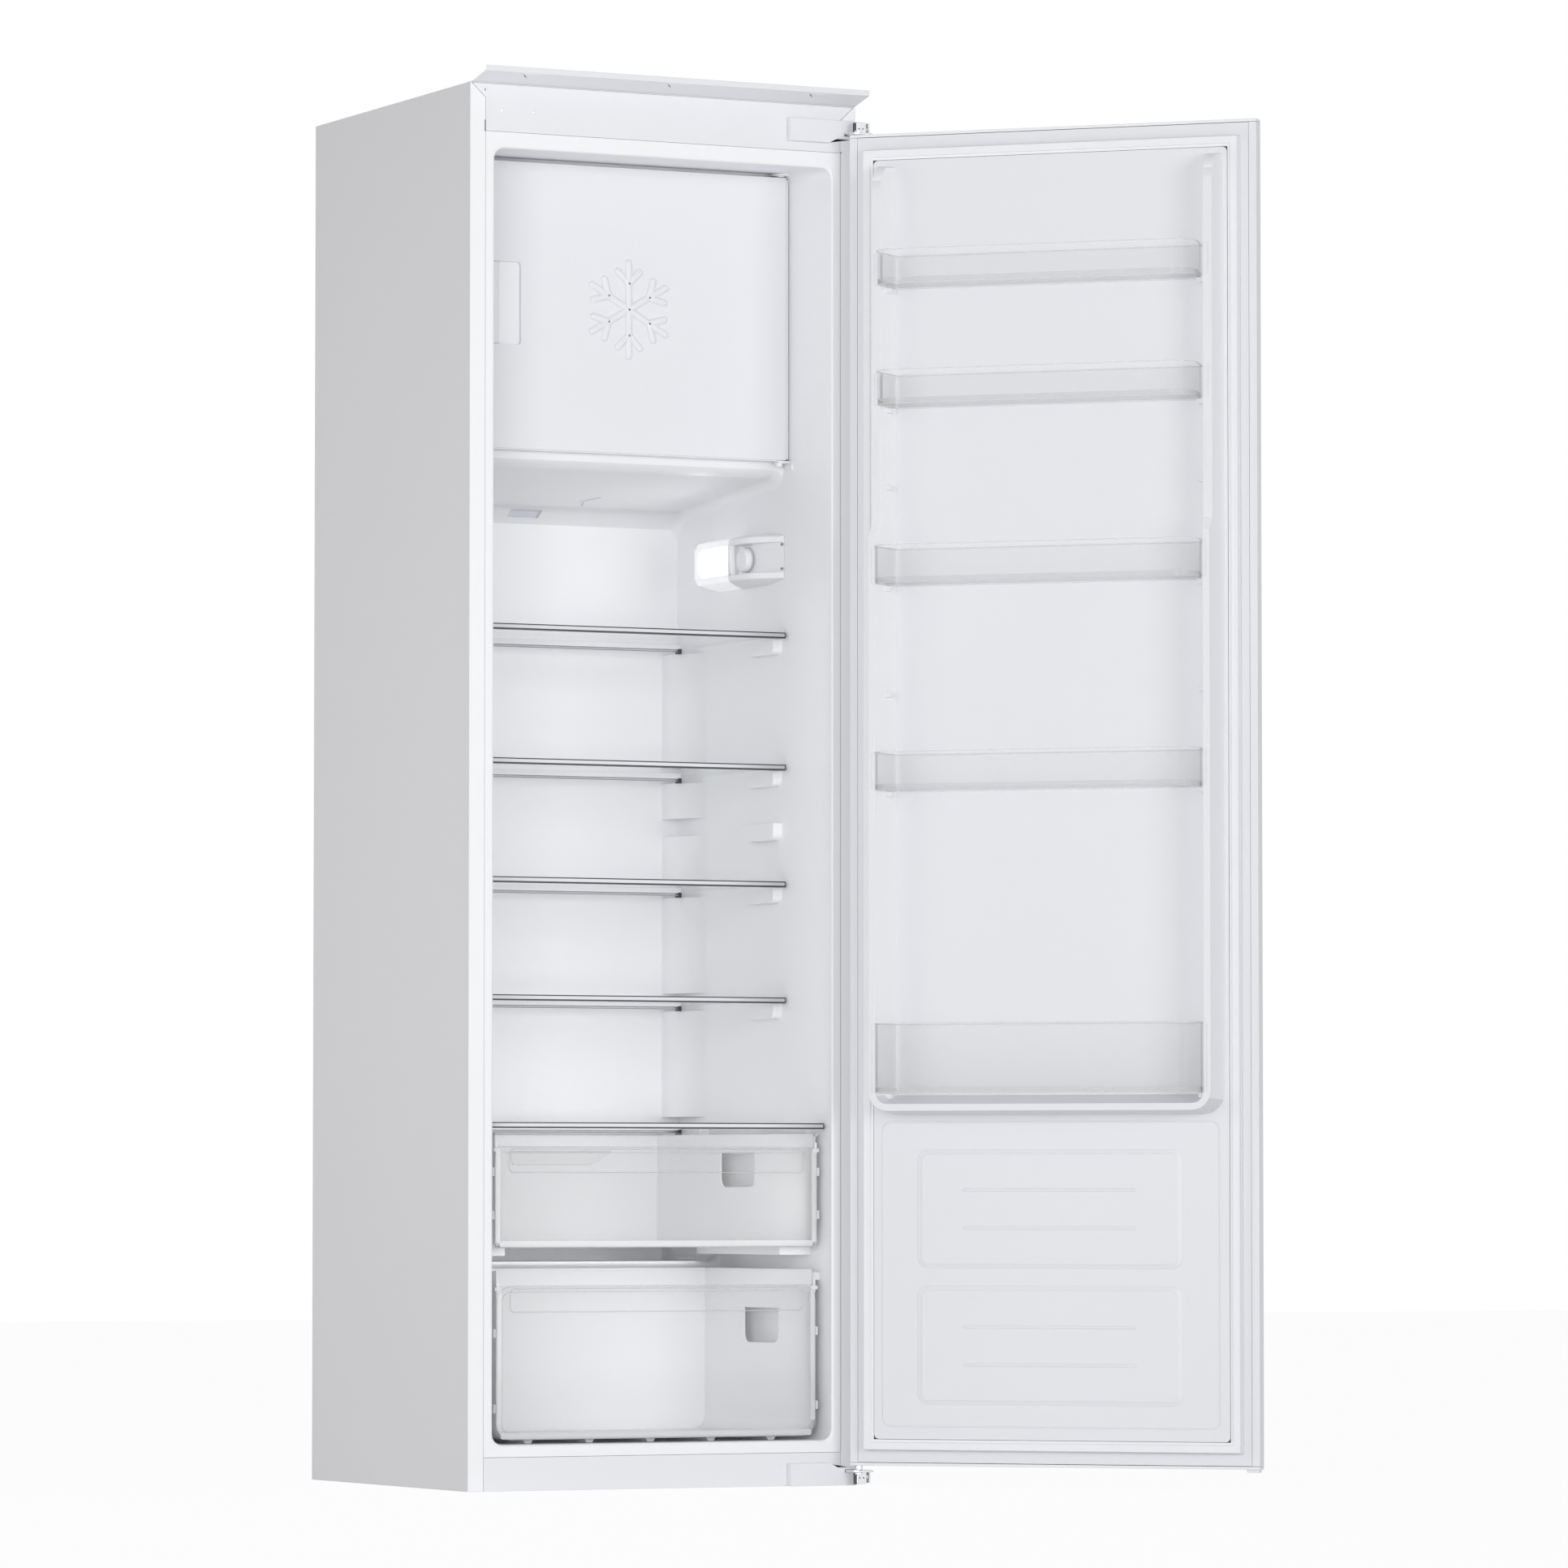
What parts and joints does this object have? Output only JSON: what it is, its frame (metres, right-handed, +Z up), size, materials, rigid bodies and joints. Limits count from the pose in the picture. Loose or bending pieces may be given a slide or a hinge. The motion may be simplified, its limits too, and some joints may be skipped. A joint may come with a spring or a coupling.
{
  "type": "built-in larder refrigerator",
  "caption": "Tall built-in larder refrigerator with its door open: icebox behind an inner door, glass shelves, clear drawers and door bins, lamp, and a wire coil on the back.",
  "frame": {"origin": "middle of the cabinet's underside, on the floor", "axes": "+Z up, -Y out of the front opening, +X towards the side with the door's hinges"},
  "size_m": [0.9082, 0.9311, 1.7713],
  "materials": {
    "cabinet_steel": "satin enamel",
    "door_steel": "satin enamel",
    "white_plastic": "smooth moulded",
    "foam": "rough foam",
    "zinc_sheet": "dull zinc",
    "hinge_metal": "bright plated",
    "trim_silver": "satin",
    "shelf_glass": "clear polished",
    "clear_plastic": "clear moulded",
    "gasket_rubber": "soft matte",
    "black_paint": "black enamel",
    "tray_plastic": "matte moulded",
    "evaporator_aluminium": "mill finish",
    "copper": "drawn copper",
    "lamp_lens": "frosted",
    "led_board": "coated board"
  },
  "bodies": {
    "cabinet": {"outer_shell": "cabinet_steel", "insulation_foam": "foam", "inner_liner": "white_plastic", "top_fascia": "white_plastic", "bottom_fascia": "white_plastic", "top_trim": "white_plastic", "base_tray": "zinc_sheet", "back_panel": "zinc_sheet", "hinge_bracket_upper": "hinge_metal", "hinge_bracket_lower": "hinge_metal", "hinge_pin_upper": "hinge_metal", "hinge_pin_lower": "hinge_metal", "hinge_cover_upper": "white_plastic", "hinge_cover_lower": "white_plastic", "lamp_housing": "white_plastic", "lamp_lens": "lamp_lens", "led_board": "led_board", "evaporator_box": "evaporator_aluminium", "compressor": "black_paint", "condenser_tube": "black_paint", "condenser_wires": "black_paint", "drip_tray": "tray_plastic", "filter_drier": "copper", "drain_tube": "tray_plastic", "icebox_pin_upper": "white_plastic", "icebox_pin_lower": "white_plastic"},
    "door": {"door_panel": "door_steel", "door_liner": "white_plastic", "door_foam": "foam", "door_gasket": "gasket_rubber", "door_cap_top": "white_plastic", "door_cap_bottom": "white_plastic"},
    "icebox_door": {"icebox_door_outer": "white_plastic", "icebox_door_inner": "white_plastic"},
    "thermostat_knob": {"thermostat_knob": "clear_plastic"},
    "shelf_1": {"shelf_1_glass": "shelf_glass", "shelf_1_front_trim": "trim_silver", "shelf_1_rear_trim": "trim_silver"},
    "shelf_2": {"shelf_2_glass": "shelf_glass", "shelf_2_front_trim": "trim_silver", "shelf_2_rear_trim": "trim_silver"},
    "shelf_3": {"shelf_3_glass": "shelf_glass", "shelf_3_front_trim": "trim_silver", "shelf_3_rear_trim": "trim_silver"},
    "shelf_4": {"shelf_4_glass": "shelf_glass", "shelf_4_front_trim": "trim_silver", "shelf_4_rear_trim": "trim_silver"},
    "shelf_5": {"shelf_5_glass": "shelf_glass", "shelf_5_front_trim": "trim_silver", "shelf_5_rear_trim": "trim_silver"},
    "upper_drawer": {"upper_drawer_tub": "clear_plastic", "upper_drawer_front": "clear_plastic"},
    "lower_drawer": {"lower_drawer_tub": "clear_plastic", "lower_drawer_front": "clear_plastic"},
    "door_bin_1": {"door_bin_1": "clear_plastic"},
    "door_bin_2": {"door_bin_2": "clear_plastic"},
    "door_bin_3": {"door_bin_3": "clear_plastic"},
    "door_bin_4": {"door_bin_4": "clear_plastic"},
    "bottle_bin": {"bottle_bin": "clear_plastic"}
  },
  "joints": [
    {"name": "door_hinge", "type": "hinge", "parent": "cabinet", "child": "door", "pos_m": [0.26, -0.2705, 0.87], "axis": [0, 0, 1], "range_deg": [-135.2, 0]},
    {"name": "icebox_door_hinge", "type": "hinge", "parent": "cabinet", "child": "icebox_door", "pos_m": [0.2215, -0.1225, 1.49], "axis": [0, 0, 1], "range_deg": [0, 85]},
    {"name": "thermostat_turn", "type": "hinge", "parent": "cabinet", "child": "thermostat_knob", "pos_m": [0.2113, -0.043, 1.1865], "axis": [-1, 0, 0], "range_deg": [0, 270]},
    {"name": "shelf_1_slide", "type": "slide", "parent": "cabinet", "child": "shelf_1", "axis": [0, -1, 0], "range_m": [0, 0.18]},
    {"name": "shelf_2_slide", "type": "slide", "parent": "cabinet", "child": "shelf_2", "axis": [0, -1, 0], "range_m": [0, 0.18]},
    {"name": "shelf_3_slide", "type": "slide", "parent": "cabinet", "child": "shelf_3", "axis": [0, -1, 0], "range_m": [0, 0.18]},
    {"name": "shelf_4_slide", "type": "slide", "parent": "cabinet", "child": "shelf_4", "axis": [0, -1, 0], "range_m": [0, 0.18]},
    {"name": "shelf_5_slide", "type": "slide", "parent": "cabinet", "child": "shelf_5", "axis": [0, -1, 0], "range_m": [0, 0.18]},
    {"name": "upper_drawer_slide", "type": "slide", "parent": "cabinet", "child": "upper_drawer", "axis": [0, -1, 0], "range_m": [0, 0.3]},
    {"name": "lower_drawer_slide", "type": "slide", "parent": "cabinet", "child": "lower_drawer", "axis": [0, -1, 0], "range_m": [0, 0.25]},
    {"name": "door_bin_1_lift", "type": "slide", "parent": "door", "child": "door_bin_1", "axis": [0, 0, 1], "range_m": [0, 0.03]},
    {"name": "door_bin_2_lift", "type": "slide", "parent": "door", "child": "door_bin_2", "axis": [0, 0, 1], "range_m": [0, 0.03]},
    {"name": "door_bin_3_lift", "type": "slide", "parent": "door", "child": "door_bin_3", "axis": [0, 0, 1], "range_m": [0, 0.03]},
    {"name": "door_bin_4_lift", "type": "slide", "parent": "door", "child": "door_bin_4", "axis": [0, 0, 1], "range_m": [0, 0.03]},
    {"name": "bottle_bin_lift", "type": "slide", "parent": "door", "child": "bottle_bin", "axis": [0, 0, 1], "range_m": [0, 0.03]}
  ]
}
